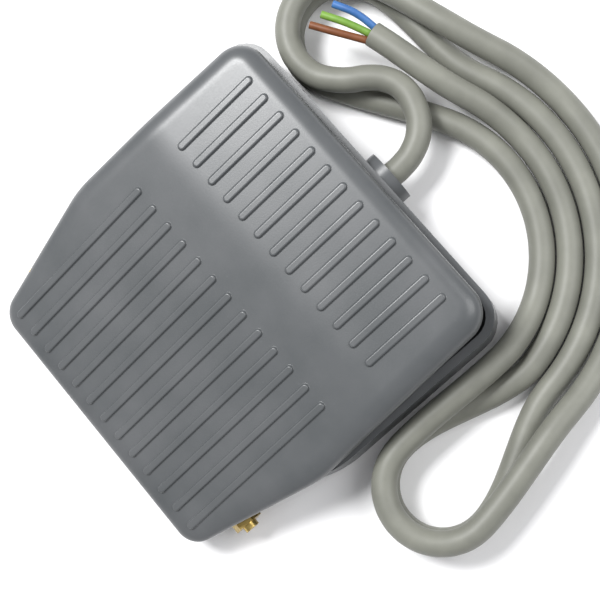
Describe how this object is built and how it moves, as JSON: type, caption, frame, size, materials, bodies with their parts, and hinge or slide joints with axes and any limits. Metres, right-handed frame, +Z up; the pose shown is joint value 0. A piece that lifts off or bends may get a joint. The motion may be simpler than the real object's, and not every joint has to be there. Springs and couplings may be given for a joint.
{
  "type": "industrial foot switch",
  "caption": "Momentary foot switch: ribbed cast metal pedal hinged at its front end over a cast tray with a snap switch, return spring and grey cable.",
  "frame": {"origin": "middle of the housing's footprint, at the height of the feet's undersides", "axes": "+X across the pedal, +Y to the rear where the cable leaves, +Z up"},
  "size_m": [0.1412, 0.151, 0.0303],
  "materials": {
    "enamel": "satin grey enamel on cast aluminium",
    "yellow_zinc": "yellow zinc plate, slightly dull",
    "zinc": "zinc plate",
    "spring_steel": "drawn spring wire",
    "rubber": "matt black",
    "black_plastic": "moulded, matt",
    "red_plastic": "moulded",
    "brass": "bare",
    "cable": "grey-green PVC sheath, semi-matt",
    "core_brown": "PVC insulation",
    "core_blue": "PVC insulation",
    "core_green": "PVC insulation"
  },
  "bodies": {
    "base": {"base": "enamel", "pivot_bolt": "yellow_zinc", "pivot_nut": "yellow_zinc", "pivot_washer_left": "zinc", "pivot_washer_right": "zinc", "return_spring": "spring_steel", "foot_rear_left": "rubber", "foot_rear_right": "rubber", "foot_front_left": "rubber", "foot_front_right": "rubber", "switch_bracket": "zinc", "bracket_screw_front": "zinc", "bracket_screw_rear": "zinc", "switch_case": "black_plastic", "switch_cover": "black_plastic", "lever_pin": "zinc", "terminal_common": "brass", "terminal_open": "brass", "terminal_closed": "brass", "switch_screw_front": "zinc", "switch_screw_rear": "zinc", "switch_nut_front": "zinc", "switch_nut_rear": "zinc", "cable_grommet": "rubber", "cable_inner": "cable", "cable_clamp": "zinc", "clamp_screw_left": "zinc", "clamp_screw_right": "zinc", "earth_tag": "brass", "earth_screw": "zinc", "core_common": "core_brown", "core_open": "core_blue", "core_earth": "core_green", "cord": "cable", "cord_hank": "cable", "cord_cores": "core_brown"},
    "pedal": {"pedal": "enamel"},
    "lever": {"switch_lever": "zinc"},
    "plunger": {"switch_plunger": "red_plastic"}
  },
  "joints": [
    {"name": "pedal_hinge", "type": "hinge", "parent": "base", "child": "pedal", "pos_m": [0, -0.036, 0.0072], "axis": [-1, 0, 0], "range_deg": [0, 2.5], "stiffness_Nm_per_rad": 2, "springref_deg": -5.73, "deforming": ["return_spring"]},
    {"name": "lever_hinge", "type": "hinge", "parent": "base", "child": "lever", "pos_m": [-0.02, 0.015, 0.0201], "axis": [-1, 0, 0], "range_deg": [0, 8.36]},
    {"name": "plunger_slide", "type": "slide", "parent": "base", "child": "plunger", "axis": [0, 0, -1], "range_m": [0, 0.00074]}
  ],
  "couplings": [
    {"joint": "lever_hinge", "follows": "pedal_hinge", "ratio": 3.342},
    {"joint": "plunger_slide", "follows": "pedal_hinge", "m_per_rad": 0.01696}
  ]
}
